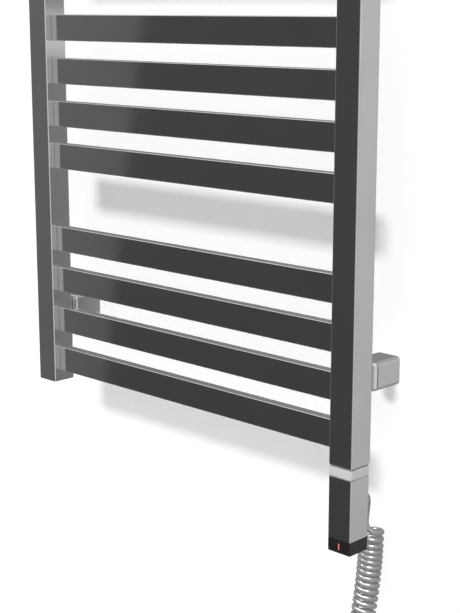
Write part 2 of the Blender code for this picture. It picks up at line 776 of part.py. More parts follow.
def make_elbow():
    """Moulded strain relief: out of the housing's back, then down, tapering to the cord."""
    z = below_post(CORD_EXIT_DROP)
    path = []
    radii = []
    for out, radius in (
        (-0.0040, 0.0050),
        (GAP, 0.0050),
        (GAP, 0.0064),
        (0.0016, 0.0064),
        (0.0020, 0.0050),
        (ELBOW_OUT, 0.0046),
    ):
        path.append((CORD_X, HOUSING_BACK + out, z))
        radii.append(radius)
    steps = 7
    for step in range(1, steps + 1):
        turn = step / steps * math.pi / 2
        y = HOUSING_BACK + ELBOW_OUT + ELBOW_RADIUS * math.sin(turn)
        path.append((CORD_X, y, z - ELBOW_RADIUS * (1 - math.cos(turn))))
        radii.append(0.0046 - 0.0008 * step / steps)
    path.append((CORD_X, CORD_Y, below_post(CORD_START_DROP)))
    radii.append(0.0034)
    swept("cord_elbow", stepped(path), radii, "grey_plastic", sides=16)


def stepped(path):
    """Moves a point that repeats the one before it a hair along, so that each ring has a place."""
    placed = [Vector(path[0])]
    for point in path[1:]:
        place = Vector(point)
        if (place - placed[-1]).length < 1e-6:
            place.y += 1e-5
        placed.append(place)
    return placed


def make_cord():
    """Lead from the elbow to the curly part, the curly part's envelope, and the tail to the plug."""
    start = below_post(CORD_START_DROP) - GAP
    coil_top = below_post(COIL_TOP_DROP)
    coil_foot = below_post(COIL_BOTTOM_DROP)
    lead = [
        (CORD_X, CORD_Y, start),
        (CORD_X, CORD_Y + 0.0001, (start + coil_top) / 2),
        (CORD_X, CORD_Y, coil_top + GAP),
    ]
    cord_tube("cord_lead", smooth_path(lead, 0.005), CORD_RADIUS, "grey_plastic", 3)
    drops = 14
    step = (COIL_BOTTOM_DROP - COIL_TOP_DROP) / drops
    axis = [coil_axis(COIL_TOP_DROP + k * step) for k in range(drops + 1)]
    cord_tube("cord_coil", axis, COIL_RADIUS + CORD_RADIUS, "grey_plastic", 4)
    middle = coil_axis(COIL_BOTTOM_DROP)
    plug_top = below_post(PLUG_TOP_DROP)
    left = middle.x - COIL_RADIUS
    tail = [
        (left, middle.y, coil_foot - GAP),
        (left - 0.0002, middle.y, coil_foot - 0.012),
        (left - 0.0008, middle.y, coil_foot - 0.028),
        (left - 0.0016, middle.y, coil_foot - 0.044),
        (PLUG_X + 0.0002, middle.y, coil_foot - 0.060),
        (PLUG_X, middle.y, coil_foot - 0.074),
        (PLUG_X, middle.y, plug_top + GAP),
    ]
    cord_tube("cord_tail", smooth_path(tail, 0.010), CORD_RADIUS, "grey_plastic", 3)
    make_plug(PLUG_X, middle.y, plug_top)


def make_plug(x, y, top):
    """Round mains plug that hangs from the cord, with its two pins pointing down."""
    profile = [
        (0.0036, 0.0),
        (0.0052, -0.022),
        (0.0090, -0.025),
        (0.0150, -0.030),
        (PLUG_RADIUS, -0.036),
        (PLUG_RADIUS, -PLUG_LENGTH + 0.001),
        (PLUG_RADIUS - 0.001, -PLUG_LENGTH),
    ]
    body = turned("plug_body", profile, (x, y, top), "grey_plastic", sides=32)
    face = top - PLUG_LENGTH
    pin_in = 0.006
    pins = {"left": x - PIN_SPACING / 2, "right": x + PIN_SPACING / 2}
    holes = [((px, y, face), PIN_RADIUS + GAP, 2 * pin_in, "z") for px in pins.values()]
    cut(body, round_cutter("pin_holes", holes))
    for side, px in pins.items():
        profile = [
            (PIN_RADIUS, pin_in - GAP),
            (PIN_RADIUS, -PIN_LENGTH + 0.0015),
            (PIN_RADIUS * 0.6, -PIN_LENGTH),
        ]
        turned("plug_pin_" + side, profile, (px, y, face), "steel", sides=16)


def main():
    clear_scene()
    make_post("left", -POST_X)
    make_post("right", POST_X)
    make_bars()
    make_top_cap("left", -POST_X)
    make_air_vent(make_top_cap("right", POST_X))
    make_sockets()
    for place, (x, z) in BRACKET_PLACES.items():
        make_bracket(place, x, z)
    make_element_core()
    make_collar()
    make_housing()
    make_end_cap()
    make_board(make_button() + GAP)
    make_elbow()
    make_cord()


main()
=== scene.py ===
"""Looks of the towel warmer rack: finished surfaces, the curly cord, the studio and the camera."""

import json
import math

import bmesh
import bpy
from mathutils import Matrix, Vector


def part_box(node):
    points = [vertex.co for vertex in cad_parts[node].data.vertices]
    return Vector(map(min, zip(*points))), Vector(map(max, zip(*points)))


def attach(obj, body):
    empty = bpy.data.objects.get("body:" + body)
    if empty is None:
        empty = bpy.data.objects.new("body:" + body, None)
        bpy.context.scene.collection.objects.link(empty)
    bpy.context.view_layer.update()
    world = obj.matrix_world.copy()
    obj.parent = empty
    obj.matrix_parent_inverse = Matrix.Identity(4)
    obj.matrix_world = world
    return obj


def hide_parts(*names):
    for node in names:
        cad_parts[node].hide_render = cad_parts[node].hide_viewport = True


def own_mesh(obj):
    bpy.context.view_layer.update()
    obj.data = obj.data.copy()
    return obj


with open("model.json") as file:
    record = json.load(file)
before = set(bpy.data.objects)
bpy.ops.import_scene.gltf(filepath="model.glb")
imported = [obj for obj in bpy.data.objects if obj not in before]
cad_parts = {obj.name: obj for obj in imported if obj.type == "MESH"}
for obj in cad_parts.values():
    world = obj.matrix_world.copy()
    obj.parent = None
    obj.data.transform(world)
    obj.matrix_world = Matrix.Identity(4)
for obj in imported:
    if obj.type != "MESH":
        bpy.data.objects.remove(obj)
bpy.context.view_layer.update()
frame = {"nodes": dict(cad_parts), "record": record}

# ---------------------------------------------------------------- sizes, in metres
POST_LOW, POST_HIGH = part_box("post_right")
POST_CAP_LOW, POST_CAP_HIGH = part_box("top_cap_right")
HOUSING_LOW, HOUSING_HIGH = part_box("element_housing")
CAP_LOW, CAP_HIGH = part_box("end_cap")
COLLAR_LOW, COLLAR_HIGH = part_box("element_collar")
ELBOW_LOW, ELBOW_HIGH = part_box("cord_elbow")
PLUG_LOW, PLUG_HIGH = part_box("plug_body")

POST_X = (POST_LOW.x + POST_HIGH.x) / 2
POST_Y = (POST_LOW.y + POST_HIGH.y) / 2
POST_FOOT = POST_LOW.z
POST_SIDE = POST_HIGH.x - POST_LOW.x
POST_EDGE = 0.0015
POST_WALL = 0.0015
BAR_EDGE = 0.0011
BAR_WALL = 0.0012
HOUSING_Y = (HOUSING_LOW.y + HOUSING_HIGH.y) / 2
CORD_RADIUS = 0.00295
COIL_RADIUS = 0.0105

GAP = 0.0003  # between touching pieces
TOP_CAP_EASE = 0.0007
TOP_CAP_NARROWER = 0.0036  # how much narrower than a post the part inside it is
CAP_LIP_NARROWER = 0.0034
CAP_INSIDE_NARROWER = 0.0054
VENT_HOLE_RADIUS = 0.0067
COLLAR_HOLE_RADIUS = 0.0131
HOUSING_HOLE_RADIUS = 0.0088
BUTTON_HOLE_RADIUS = 0.0063

SPRING_WIRE = 0.00035  # radius
SPRING_TURNS = 5.5
SPRING_STEPS = 28

GLOW_REACH = 0.0008  # on each side of a lit window's lamp
CORNER_STEPS = 8


def below_post(drop):
    """Height of a place by its distance below the posts' lower ends."""
    return POST_FOOT - drop


# ---------------------------------------------------------------- material building
def node_material(name):
    """A new material with its shader and a function that adds nodes to it."""
    made = bpy.data.materials.new(name)
    made.use_nodes = True
    tree = made.node_tree
    shader = tree.nodes["Principled BSDF"]

    def add(kind, **settings):
        node = tree.nodes.new(kind)
        for key, value in settings.items():
            setattr(node, key, value)
        return node

    return made, tree, shader, add


def noise(tree, add, scale, detail=4.0, stretch=(1, 1, 1)):
    """Noise over the object's own coordinates, which are the frame's metres."""
    coordinates = add("ShaderNodeTexCoord")
    mapping = add("ShaderNodeMapping")
    mapping.inputs["Scale"].default_value = stretch
    texture = add("ShaderNodeTexNoise")
    texture.inputs["Scale"].default_value = scale
    texture.inputs["Detail"].default_value = detail
    tree.links.new(coordinates.outputs["Object"], mapping.inputs["Vector"])
    tree.links.new(mapping.outputs["Vector"], texture.inputs["Vector"])
    return texture.outputs["Fac"]


def spread(tree, add, value, low, high, start=0.3, end=0.7):
    """Maps a noise value to the range low to high."""
    node = add("ShaderNodeMapRange")
    node.inputs["From Min"].default_value = start
    node.inputs["From Max"].default_value = end
    node.inputs["To Min"].default_value = low
    node.inputs["To Max"].default_value = high
    tree.links.new(value, node.inputs["Value"])
    return node.outputs["Result"]


def blend_colours(tree, add, value, first, second):
    node = add("ShaderNodeMix", data_type="RGBA")
    node.inputs["A"].default_value = (*first, 1)
    node.inputs["B"].default_value = (*second, 1)
    tree.links.new(value, node.inputs["Factor"])
    return node.outputs["Result"]


def bump(tree, add, shader, height, strength, distance):
    node = add("ShaderNodeBump")
    node.inputs["Strength"].default_value = strength
    node.inputs["Distance"].default_value = distance
    tree.links.new(height, node.inputs["Height"])
    tree.links.new(node.outputs["Normal"], shader.inputs["Normal"])


def metal(name, light, dark, smooth, rough, grain=900.0, stretch=(1, 1, 1), depth=0.000002):
    """Metal whose colour and roughness wander a little, with a fine grain."""
    made, tree, shader, add = node_material(name)
    shader.inputs["Metallic"].default_value = 1.0
    cloud = noise(tree, add, 14.0, 5.0)
    tint = spread(tree, add, cloud, 0.0, 1.0)
    tree.links.new(blend_colours(tree, add, tint, light, dark), shader.inputs["Base Color"])
    smudge = noise(tree, add, 46.0, 6.0, stretch)
    roughness = spread(tree, add, smudge, smooth, rough)
    tree.links.new(roughness, shader.inputs["Roughness"])
    bump(tree, add, shader, noise(tree, add, grain, 2.0, stretch), 0.25, depth)
    return made


def plastic(name, light, dark, smooth, rough, grain=1400.0, depth=0.00002, coat=0.0, shine=0.5):
    """Moulded plastic: slight colour drift, uneven gloss and a fine spark-eroded grain."""
    made, tree, shader, add = node_material(name)
    shader.inputs["IOR"].default_value = 1.49
    shader.inputs["Specular IOR Level"].default_value = shine
    shader.inputs["Coat Weight"].default_value = coat
    shader.inputs["Coat Roughness"].default_value = 0.12
    cloud = noise(tree, add, 60.0, 4.0)
    tint = spread(tree, add, cloud, 0.0, 1.0)
    tree.links.new(blend_colours(tree, add, tint, light, dark), shader.inputs["Base Color"])
    roughness = spread(tree, add, noise(tree, add, 180.0, 3.0), smooth, rough)
    tree.links.new(roughness, shader.inputs["Roughness"])
    bump(tree, add, shader, noise(tree, add, grain, 2.0), 0.2, depth)
    return made


def circuit_board():
    """Green lacquer over copper tracks that run up and across the board."""
    made, tree, shader, add = node_material("circuit_board")
    coordinates = add("ShaderNodeTexCoord")
    mapping = add("ShaderNodeMapping")
    mapping.inputs["Rotation"].default_value = (math.pi / 2, 0, 0)
    bricks = add("ShaderNodeTexBrick")
    bricks.inputs["Scale"].default_value = 260.0
    bricks.inputs["Mortar Size"].default_value = 0.03
    bricks.inputs["Color1"].default_value = (0.02, 0.15, 0.06, 1)
    bricks.inputs["Color2"].default_value = (0.03, 0.20, 0.08, 1)
    bricks.inputs["Mortar"].default_value = (0.20, 0.32, 0.12, 1)
    tree.links.new(coordinates.outputs["Object"], mapping.inputs["Vector"])
    tree.links.new(mapping.outputs["Vector"], bricks.inputs["Vector"])
    tree.links.new(bricks.outputs["Color"], shader.inputs["Base Color"])
    roughness = spread(tree, add, noise(tree, add, 300.0), 0.3, 0.5)
    tree.links.new(roughness, shader.inputs["Roughness"])
    return made


def light_window(name, glow, edge, strength, middle):
    """Clear window over a lamp that sits left of its middle, so the glow fades to the right."""
    made, tree, shader, add = node_material(name)
    shader.inputs["Roughness"].default_value = 0.12
    coordinates = add("ShaderNodeTexCoord")
    split = add("ShaderNodeSeparateXYZ")
    tree.links.new(coordinates.outputs["Object"], split.inputs["Vector"])
    across = spread(tree, add, split.outputs["X"], 0.0, 1.0, middle - GLOW_REACH, middle + GLOW_REACH)
    fade = blend_colours(tree, add, across, glow, edge)
    ripple = spread(tree, add, noise(tree, add, 700.0), 0.85, 1.0)
    mixed = add("ShaderNodeMix", data_type="RGBA", blend_type="MULTIPLY")
    mixed.inputs["Factor"].default_value = 1.0
    tree.links.new(fade, mixed.inputs["A"])
    tree.links.new(ripple, mixed.inputs["B"])
    tree.links.new(mixed.outputs["Result"], shader.inputs["Base Color"])
    tree.links.new(mixed.outputs["Result"], shader.inputs["Emission Color"])
    shader.inputs["Emission Strength"].default_value = strength
    return made


LIGHT_LOW, LIGHT_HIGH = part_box("light_power")
TIMER_LOW, TIMER_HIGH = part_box("light_timer")
FINISHES = {
    "chrome": metal("chrome", (0.72, 0.72, 0.72), (0.68, 0.68, 0.685), 0.02, 0.06),
    "steel": metal("steel", (0.52, 0.51, 0.50), (0.40, 0.39, 0.38), 0.25, 0.42, 500.0, (1, 1, 8), 0.00001),
    "brass": metal("brass", (0.72, 0.56, 0.28), (0.58, 0.44, 0.20), 0.20, 0.36, 600.0, (1, 1, 6), 0.00001),
    "pale_plastic": plastic("pale_plastic", (0.69, 0.69, 0.685), (0.66, 0.66, 0.655), 0.28, 0.40),
    "black_plastic": plastic("black_plastic", (0.013, 0.013, 0.012), (0.018, 0.018, 0.017), 0.22, 0.34),
    "grey_plastic": plastic("grey_plastic", (0.30, 0.30, 0.30), (0.26, 0.26, 0.26), 0.22, 0.34),
    "cord_sheath": plastic(
        "cord_sheath", (0.31, 0.31, 0.31), (0.28, 0.28, 0.28), 0.18, 0.26, coat=1.0, shine=1.0
    ),
    "rubber": plastic("rubber", (0.22, 0.22, 0.22), (0.19, 0.19, 0.19), 0.55, 0.75),
    "board": circuit_board(),
    "red_window": light_window(
        "red_window", (1.0, 0.30, 0.26), (0.30, 0.01, 0.01), 0.9, (LIGHT_LOW.x + LIGHT_HIGH.x) / 2
    ),
    "dark_window": light_window(
        "dark_window", (0.05, 0.02, 0.02), (0.02, 0.012, 0.012), 0.25, (TIMER_LOW.x + TIMER_HIGH.x) / 2
    ),
}


# ---------------------------------------------------------------- shapes
def rounded_rectangle(width, height, radius, steps=CORNER_STEPS):
    """(u, v) points of a rectangle with round corners, anticlockwise."""
    points = []
    for corner in range(4):
        sign_u = (1, -1, -1, 1)[corner]
        sign_v = (1, 1, -1, -1)[corner]
        for step in range(steps + 1):
            turn = (corner + step / steps) * math.pi / 2
            points.append(
                (
                    sign_u * (width / 2 - radius) + radius * math.cos(turn),
                    sign_v * (height / 2 - radius) + radius * math.sin(turn),
                )
            )
    return points


def circle(radius, sides=48):
    return [
        (radius * math.cos(2 * math.pi * k / sides), radius * math.sin(2 * math.pi * k / sides))
        for k in range(sides)
    ]


def matching_circle(radius, sides):
    """A circle whose points start an eighth of a turn round, in step with a rounded rectangle's."""
    points = circle(radius, sides)
    return points[sides // 8 :] + points[: sides // 8]


def ring(outline, centre, axis="z"):
    """Places an outline's (u, v) points round a centre, in the plane square to an axis."""
    x, y, z = centre
    place = {
        "x": lambda u, v: (x, y + u, z + v),
        "y": lambda u, v: (x + u, y, z + v),
        "z": lambda u, v: (x + u, y + v, z),
    }[axis]
    return [place(u, v) for u, v in outline]


def loft_mesh(name, rings, closed=False, sharp_angle=50):
    """Joins rings of equal length with side faces, and caps the first and last unless closed."""
    mesh = bmesh.new()
    rows = [[mesh.verts.new(point) for point in points] for points in rings]
    pairs = list(zip(rows, rows[1:]))
    if closed:
        pairs.append((rows[-1], rows[0]))
    else:
        mesh.faces.new(rows[0])
        mesh.faces.new(rows[-1])
    count = len(rows[0])
    for low, high in pairs:
        for k in range(count):
            after = (k + 1) % count
            mesh.faces.new((low[k], low[after], high[after], high[k]))
    bmesh.ops.recalc_face_normals(mesh, faces=mesh.faces)
    data = bpy.data.meshes.new(name)
    mesh.to_mesh(data)
    mesh.free()
    data.shade_smooth()
    data.set_sharp_from_angle(angle=math.radians(sharp_angle))
    return data


def show(name, data, finish, nodes, body="rack"):
    """Shows a mesh or curve as a piece that rides on a body in place of the named CAD nodes."""
    piece = bpy.data.objects.new(name, data)
    bpy.context.scene.collection.objects.link(piece)
    if not data.materials:
        data.materials.append(FINISHES[finish])
    if piece.type == "MESH":
        even = piece.modifiers.new("even_normals", "WEIGHTED_NORMAL")
        even.keep_sharp = True
    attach(piece, body)
    if nodes:
        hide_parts(*nodes)
    return piece


def turned(name, profile, centre, finish, nodes, axis="z", sides=48, closed=False, body="rack"):
    """A round piece: profile is (radius, distance along the axis from centre) pairs."""
    step = Vector({"x": (1, 0, 0), "y": (0, 1, 0), "z": (0, 0, 1)}[axis])
    rings = [
        ring(circle(radius, sides), Vector(centre) + step * along, axis)
        for radius, along in profile
    ]
    return show(name, loft_mesh(name, rings, closed), finish, nodes, body)


def eased(corners, radius, steps=4):
    """A profile whose corners are rounded: each corner is (radius, along), ends stay sharp."""
    points = [corners[0]]
    for before, here, after in zip(corners, corners[1:], corners[2:]):
        corner = Vector(here)
        to_before = Vector(before) - corner
        to_after = Vector(after) - corner
        reach = min(radius, to_before.length * 0.45, to_after.length * 0.45)
        start = corner + to_before.normalized() * reach
        end = corner + to_after.normalized() * reach
        for step in range(steps + 1):
            t = step / steps
            points.append(tuple(start * (1 - t) ** 2 + corner * 2 * t * (1 - t) + end * t**2))
    points.append(corners[-1])
    return points


# ---------------------------------------------------------------- rack
def make_posts():
    outer = rounded_rectangle(POST_SIDE, POST_SIDE, POST_EDGE)
    inside = POST_SIDE - 2 * POST_WALL
    inner = rounded_rectangle(inside, inside, POST_EDGE / 3)
    for side, x in (("left", -POST_X), ("right", POST_X)):
        name = "post_shell_" + side
        foot = (x, POST_Y, POST_LOW.z)
        top = (x, POST_Y, POST_HIGH.z)
        rings = [ring(outer, foot), ring(outer, top), ring(inner, top), ring(inner, foot)]
        show(name, loft_mesh(name, rings, closed=True), "chrome", ["post_" + side])


def make_bars():
    bars = sorted(name for name in frame["nodes"] if name.startswith("bar_"))
    low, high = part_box(bars[0])
    depth = high.y - low.y
    height = high.z - low.z
    outer = rounded_rectangle(depth, height, BAR_EDGE)
    inner = rounded_rectangle(depth - 2 * BAR_WALL, height - 2 * BAR_WALL, BAR_EDGE / 3)
    y = (low.y + high.y) / 2
    for name in bars:
        low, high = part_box(name)
        z = (low.z + high.z) / 2
        ends = ((low.x, y, z), (high.x, y, z))
        rings = [ring(outer, end, "x") for end in ends]
        rings += [ring(inner, end, "x") for end in reversed(ends)]
        shell = name.replace("bar_", "bar_shell_")
        show(shell, loft_mesh(shell, rings, closed=True), "chrome", [name])


def make_top_caps():
    for side, x in (("left", -POST_X), ("right", POST_X)):
        name = "top_cap_shell_" + side
        top = POST_CAP_HIGH.z
        plate_foot = POST_HIGH.z + GAP
        plug_side = POST_SIDE - TOP_CAP_NARROWER
        plug = rounded_rectangle(plug_side, plug_side, POST_EDGE)
        rings = []
        for step in range(5):
            turn = step / 4 * math.pi / 2
            inset = TOP_CAP_EASE * (1 - math.sin(turn))
            rim = rounded_rectangle(POST_SIDE - 2 * inset, POST_SIDE - 2 * inset, POST_EDGE - inset)
            rings.append(ring(rim, (x, POST_Y, top - TOP_CAP_EASE * (1 - math.cos(turn)))))
        plate = rounded_rectangle(POST_SIDE, POST_SIDE, POST_EDGE)
        rings.append(ring(plate, (x, POST_Y, plate_foot)))
        rings.append(ring(plug, (x, POST_Y, plate_foot)))
        rings.append(ring(plug, (x, POST_Y, POST_CAP_LOW.z)))
        if side == "right":
            bore = matching_circle(VENT_HOLE_RADIUS, len(plate))
            rings.append(ring(bore, (x, POST_Y, POST_CAP_LOW.z)))
            rings.append(ring(bore, (x, POST_Y, top)))
        show(name, loft_mesh(name, rings, closed=side == "right"), "chrome", ["top_cap_" + side])


def make_air_vent():
    """Vent plug with a rounded rim and a seat for the bleed screw, which is shown as it is."""
    low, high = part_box("vent_plug")
    screw_low, screw_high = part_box("bleed_screw")
    centre = (POST_X, POST_Y, 0)
    bore = 0.0027
    seat = (screw_high.x - screw_low.x) / 2 + GAP
    rim = (high.x - low.x) / 2
    head_foot = POST_CAP_HIGH.z + GAP
    corners = [
        (bore, low.z),
        (bore, screw_high.z - 0.0017),
        (seat, screw_high.z - 0.0017),
        (seat, high.z),
        (rim, high.z),
        (rim, head_foot),
        (0.0064, head_foot),
        (0.0064, low.z),
    ]
    turned("vent_plug_body", eased(corners, 0.0006), centre, "chrome", ["vent_plug"], closed=True)


def make_brackets():
    """Hollow blocks, broadly rounded at their front's upright edges, and their round necks."""
    blocks = sorted(name for name in frame["nodes"] if name.startswith("bracket_block_"))
    side_round, top_round = 0.0072, 0.0042
    for node in blocks:
        place = node.removeprefix("bracket_block_")
        low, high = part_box(node)
        side = high.x - low.x
        x, z = (low.x + high.x) / 2, (low.z + high.z) / 2
        rings = []
        steps = 14
        for step in range(steps + 1):
            depth = side_round * (1 - math.cos(step / steps * math.pi / 2))
            inset_x = side_round - math.sqrt(side_round**2 - (side_round - depth) ** 2)
            rest = max(0.0, top_round - depth)
            inset_z = top_round - math.sqrt(top_round**2 - rest**2)
            corner = max(0.0005, top_round - 0.8 * max(inset_x * 0.55, inset_z))
            outline = rounded_rectangle(side - 2 * inset_x, side - 2 * inset_z, corner)
            rings.append(ring(outline, (x, low.y + depth, z), "y"))
        outer = rounded_rectangle(side, side, top_round)
        inner = rounded_rectangle(side - 0.006, side - 0.006, 0.0014)
        rings.append(ring(outer, (x, high.y - 0.0003, z), "y"))
        edge = rounded_rectangle(side - 0.0006, side - 0.0006, top_round - 0.0003)
        rings.append(ring(edge, (x, high.y, z), "y"))
        rings.append(ring(inner, (x, high.y, z), "y"))
        rings.append(ring(inner, (x, low.y + 0.006, z), "y"))
        name = "bracket_shell_" + place
        show(name, loft_mesh(name, rings), "chrome", [node])
        neck = "bracket_neck_" + place
        low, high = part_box(neck)
        front = POST_HIGH.y + GAP
        back = front + 0.0024
        stud = 0.0039
        rim = (high.x - low.x) / 2
        corners = [(stud, low.y), (stud, front), (rim, front), (rim, back), (stud, back), (stud, high.y)]
        turned(
            "bracket_collar_" + place, eased(corners, 0.0003, 2), (x, 0, z), "chrome", [neck], axis="y"
        )


# ---------------------------------------------------------------- heating element
def make_collar():
    """Pale square ring with eased edges above and below."""
    width = COLLAR_HIGH.x - COLLAR_LOW.x
    depth = COLLAR_HIGH.y - COLLAR_LOW.y
    y = (COLLAR_LOW.y + COLLAR_HIGH.y) / 2
    ease = 0.0005
    full = rounded_rectangle(width, depth, POST_EDGE)
    eased_outline = rounded_rectangle(width - 2 * ease, depth - 2 * ease, POST_EDGE - ease)
    bore = matching_circle(COLLAR_HOLE_RADIUS, len(full))
    rings = [
        ring(eased_outline, (POST_X, y, COLLAR_LOW.z)),
        ring(full, (POST_X, y, COLLAR_LOW.z + ease)),
        ring(full, (POST_X, y, COLLAR_HIGH.z - ease)),
        ring(eased_outline, (POST_X, y, COLLAR_HIGH.z)),
        ring(bore, (POST_X, POST_Y, COLLAR_HIGH.z)),
        ring(bore, (POST_X, POST_Y, COLLAR_LOW.z)),
    ]
    show("collar_ring", loft_mesh("collar_ring", rings, closed=True), "pale_plastic", ["element_collar"])


def make_housing():
    """Chrome shell with eased ends, open below, and a round hole for the bush."""
    width = HOUSING_HIGH.x - HOUSING_LOW.x
    depth = HOUSING_HIGH.y - HOUSING_LOW.y
    wall = 0.0014
    ease = 0.0004
    full = rounded_rectangle(width, depth, POST_EDGE)
    edge = rounded_rectangle(width - 2 * ease, depth - 2 * ease, POST_EDGE - ease)
    inner = rounded_rectangle(width - 2 * wall, depth - 2 * wall, POST_EDGE / 3)
    bore = matching_circle(HOUSING_HOLE_RADIUS, len(full))
    top, foot = HOUSING_HIGH.z, HOUSING_LOW.z
    rings = [
        ring(bore, (POST_X, POST_Y, top)),
        ring(edge, (POST_X, HOUSING_Y, top)),
        ring(full, (POST_X, HOUSING_Y, top - ease)),
        ring(full, (POST_X, HOUSING_Y, foot + ease)),
        ring(edge, (POST_X, HOUSING_Y, foot)),
        ring(inner, (POST_X, HOUSING_Y, foot)),
        ring(inner, (POST_X, HOUSING_Y, top - wall)),
        ring(bore, (POST_X, POST_Y, top - wall)),
    ]
    data = loft_mesh("housing_shell", rings, closed=True)
    show("housing_shell", data, "chrome", ["element_housing"])


def box_hole(piece, centre, size):
    """Cuts a box out of a piece, with a hidden cutter."""
    name = f"{piece.name}_cutter_{len(piece.modifiers)}"
    mesh = bmesh.new()
    bmesh.ops.create_cube(mesh, size=1.0)
    for vertex in mesh.verts:
        vertex.co = Vector([c + s * v for c, s, v in zip(centre, size, vertex.co)])
    data = bpy.data.meshes.new(name)
    mesh.to_mesh(data)
    mesh.free()
    cutter = bpy.data.objects.new(name, data)
    bpy.context.scene.collection.objects.link(cutter)
    cutter.hide_render = True
    cutter.display_type = "WIRE"
    hole = piece.modifiers.new("hole", "BOOLEAN")
    hole.operation = "DIFFERENCE"
    hole.object = cutter


def make_end_cap():
    """Black cap with eased edges, its button hole and the two light slots."""
    width = CAP_HIGH.x - CAP_LOW.x
    depth = CAP_HIGH.y - CAP_LOW.y
    seam = HOUSING_LOW.z - GAP
    ease = 0.0008
    floor = 0.0020

    def centre(z):
        return (POST_X, HOUSING_Y, z)

    full = rounded_rectangle(width, depth, POST_EDGE)
    lip = rounded_rectangle(width - CAP_LIP_NARROWER, depth - CAP_LIP_NARROWER, POST_EDGE / 3)
    inner = rounded_rectangle(width - CAP_INSIDE_NARROWER, depth - CAP_INSIDE_NARROWER, POST_EDGE / 3)
    hole = matching_circle(BUTTON_HOLE_RADIUS, len(full))
    rings = [ring(hole, centre(CAP_LOW.z))]
    for step in range(5):
        turn = step / 4 * math.pi / 2
        inset = ease * (1 - math.sin(turn))
        outline = rounded_rectangle(width - 2 * inset, depth - 2 * inset, POST_EDGE - inset)
        rings.append(ring(outline, centre(CAP_LOW.z + ease * (1 - math.cos(turn)))))
    rings += [
        ring(full, centre(seam)),
        ring(lip, centre(seam)),
        ring(lip, centre(CAP_HIGH.z)),
        ring(inner, centre(CAP_HIGH.z)),
        ring(inner, centre(CAP_LOW.z + floor)),
        ring(hole, centre(CAP_LOW.z + floor)),
    ]
    cap = show("end_cap_shell", loft_mesh("end_cap_shell", rings, closed=True), "black_plastic", ["end_cap"])
    for low, high in ((LIGHT_LOW, LIGHT_HIGH), (TIMER_LOW, TIMER_HIGH)):
        middle = (low + high) / 2
        size = (high.x - low.x + 0.0004, 0.010, high.z - low.z + 0.0004)
        box_hole(cap, (middle.x, low.y, middle.z), size)
    even = cap.modifiers["even_normals"]
    cap.modifiers.move(cap.modifiers.find(even.name), len(cap.modifiers) - 1)


def make_lights():
    for node, finish in (("light_power", "red_window"), ("light_timer", "dark_window")):
        low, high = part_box(node)
        x, z = (low.x + high.x) / 2, (low.z + high.z) / 2
        rings = []
        for inset, back in ((0.0003, 0.0), (0.0001, 0.0001), (0.0, 0.0004)):
            outline = rounded_rectangle(
                high.x - low.x - 2 * inset, high.z - low.z - 2 * inset, 0.0005 - inset, 5
            )
            rings.append(ring(outline, (x, low.y + back, z), "y"))
        rings.append(ring(outline, (x, high.y, z), "y"))
        name = node.replace("light_", "window_")
        show(name, loft_mesh(name, rings), finish, [node])


def make_button():
    low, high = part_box("push_button")
    corners = [
        (0.0001, low.z + 0.0003),
        (0.0040, low.z + 0.0002),
        (0.0048, low.z),
        (0.0060, low.z),
        (0.0060, low.z + 0.0037),
        (0.0073, low.z + 0.0037),
        (0.0073, low.z + 0.0047),
        (0.0018, low.z + 0.0047),
        (0.0018, high.z),
    ]
    centre = (POST_X, HOUSING_Y, 0)
    turned(
        "button_cap", eased(corners, 0.0006), centre, "black_plastic", ["push_button"], body="push_button"
    )


# ---------------------------------------------------------------- paths
def smooth_path(points, spacing):
    """Points about spacing apart on a smooth curve through the given ones."""
    places = [Vector(p) for p in points]
    ends = [2 * places[0] - places[1], *places, 2 * places[-1] - places[-2]]
    dense = []
    for k in range(1, len(ends) - 2):
        a, b, c, d = ends[k - 1 : k + 3]
        for step in range(16):
            t = step / 16
            dense.append(
                0.5 * (2 * b + (c - a) * t + (2 * a - 5 * b + 4 * c - d) * t**2)
                + 0.5 * (3 * b - a - 3 * c + d) * t**3
            )
    dense.append(places[-1])
    length = sum((q - p).length for p, q in zip(dense, dense[1:]))
    count = max(2, round(length / spacing))
    path = [dense[0]]
    walked = 0.0
    for p, q in zip(dense, dense[1:]):
        stretch = (q - p).length
        while len(path) < count and walked + stretch >= len(path) * length / count:
            share = (len(path) * length / count - walked) / stretch
            path.append(p.lerp(q, share))
        walked += stretch
    path.append(dense[-1])
    return path


def bend(start, start_way, end, end_way, pull, steps=10):
    """Points strictly between two places, on a curve that leaves and arrives along two ways."""
    first = start + start_way.normalized() * pull
    second = end - end_way.normalized() * pull
    points = []
    for step in range(1, steps):
        t = step / steps
        points.append(
            start * (1 - t) ** 3
            + first * 3 * t * (1 - t) ** 2
            + second * 3 * t**2 * (1 - t)
            + end * t**3
        )
    return points


def swept_mesh(name, path, radii, sides=32):
    rings = []
    side = None
    for k, here in enumerate(path):
        along = (path[min(k + 1, len(path) - 1)] - path[max(k - 1, 0)]).normalized()
        if side is None:
            side = along.orthogonal().normalized()
        side = (side - along * side.dot(along)).normalized()
        across = along.cross(side)
        rings.append([here + side * u + across * v for u, v in circle(radii[k], sides)])
    return loft_mesh(name, rings, sharp_angle=60)


